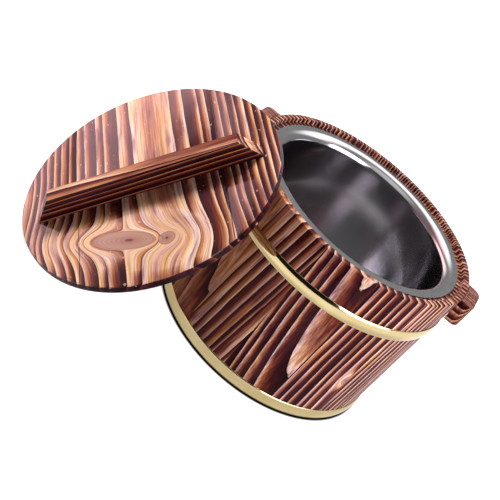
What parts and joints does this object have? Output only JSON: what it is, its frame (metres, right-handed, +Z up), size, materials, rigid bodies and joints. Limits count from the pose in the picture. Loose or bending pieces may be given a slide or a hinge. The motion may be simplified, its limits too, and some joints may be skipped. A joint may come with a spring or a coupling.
{
  "type": "rice tub",
  "caption": "Coopered wooden rice tub with brass hoops and side ears, a lift-out steel pot that hangs in its rim, and a round boarded lid with a bar handle leaning on it.",
  "frame": {"origin": "middle of the footprint of the tub and its leaning lid, on the table", "axes": "+Z up along the tub's axis, X along the line through the two ears, and the lid leans on the tub from -X and -Y"},
  "size_m": [0.3832, 0.3334, 0.1873],
  "materials": {
    "tub_wood": "burnt and brushed softwood under satin lacquer",
    "lid_wood": "burnt and brushed softwood under satin lacquer",
    "bottom_wood": "planed softwood, bare",
    "pin_bamboo": "bare bamboo",
    "hoop_brass": "polished",
    "pot_steel": "brushed stainless steel",
    "screw_zinc": "zinc plated"
  },
  "bodies": {
    "tub": {"stave_01": "tub_wood", "stave_02": "tub_wood", "stave_03": "tub_wood", "stave_04": "tub_wood", "stave_05": "tub_wood", "stave_06": "tub_wood", "stave_07": "tub_wood", "stave_08": "tub_wood", "stave_09": "tub_wood", "stave_10": "tub_wood", "stave_11": "tub_wood", "stave_12": "tub_wood", "stave_13": "tub_wood", "stave_14": "tub_wood", "bottom_board_1": "bottom_wood", "bottom_board_2": "bottom_wood", "bottom_board_3": "bottom_wood", "bottom_pin_1": "pin_bamboo", "bottom_pin_2": "pin_bamboo", "bottom_pin_3": "pin_bamboo", "bottom_pin_4": "pin_bamboo", "upper_hoop": "hoop_brass", "lower_hoop": "hoop_brass", "ear_right": "tub_wood", "ear_left": "tub_wood", "ear_screw_right_1": "screw_zinc", "ear_screw_right_2": "screw_zinc", "ear_screw_left_1": "screw_zinc", "ear_screw_left_2": "screw_zinc"},
    "pot": {"inner_pot": "pot_steel"},
    "lid": {"lid_board_1": "lid_wood", "lid_board_2": "lid_wood", "lid_board_3": "lid_wood", "lid_pin_1": "pin_bamboo", "lid_pin_2": "pin_bamboo", "lid_pin_3": "pin_bamboo", "lid_pin_4": "pin_bamboo", "lid_handle": "lid_wood", "handle_screw_1": "screw_zinc", "handle_screw_2": "screw_zinc", "handle_screw_3": "screw_zinc"}
  },
  "joints": [
    {"name": "pot_lift", "type": "slide", "parent": "tub", "child": "pot", "axis": [0, 0, 1], "range_m": [0, 0.16]},
    {"name": "lid_lift", "type": "slide", "parent": "tub", "child": "lid", "axis": [0, 0, 1], "range_m": [0, 0.2]}
  ]
}
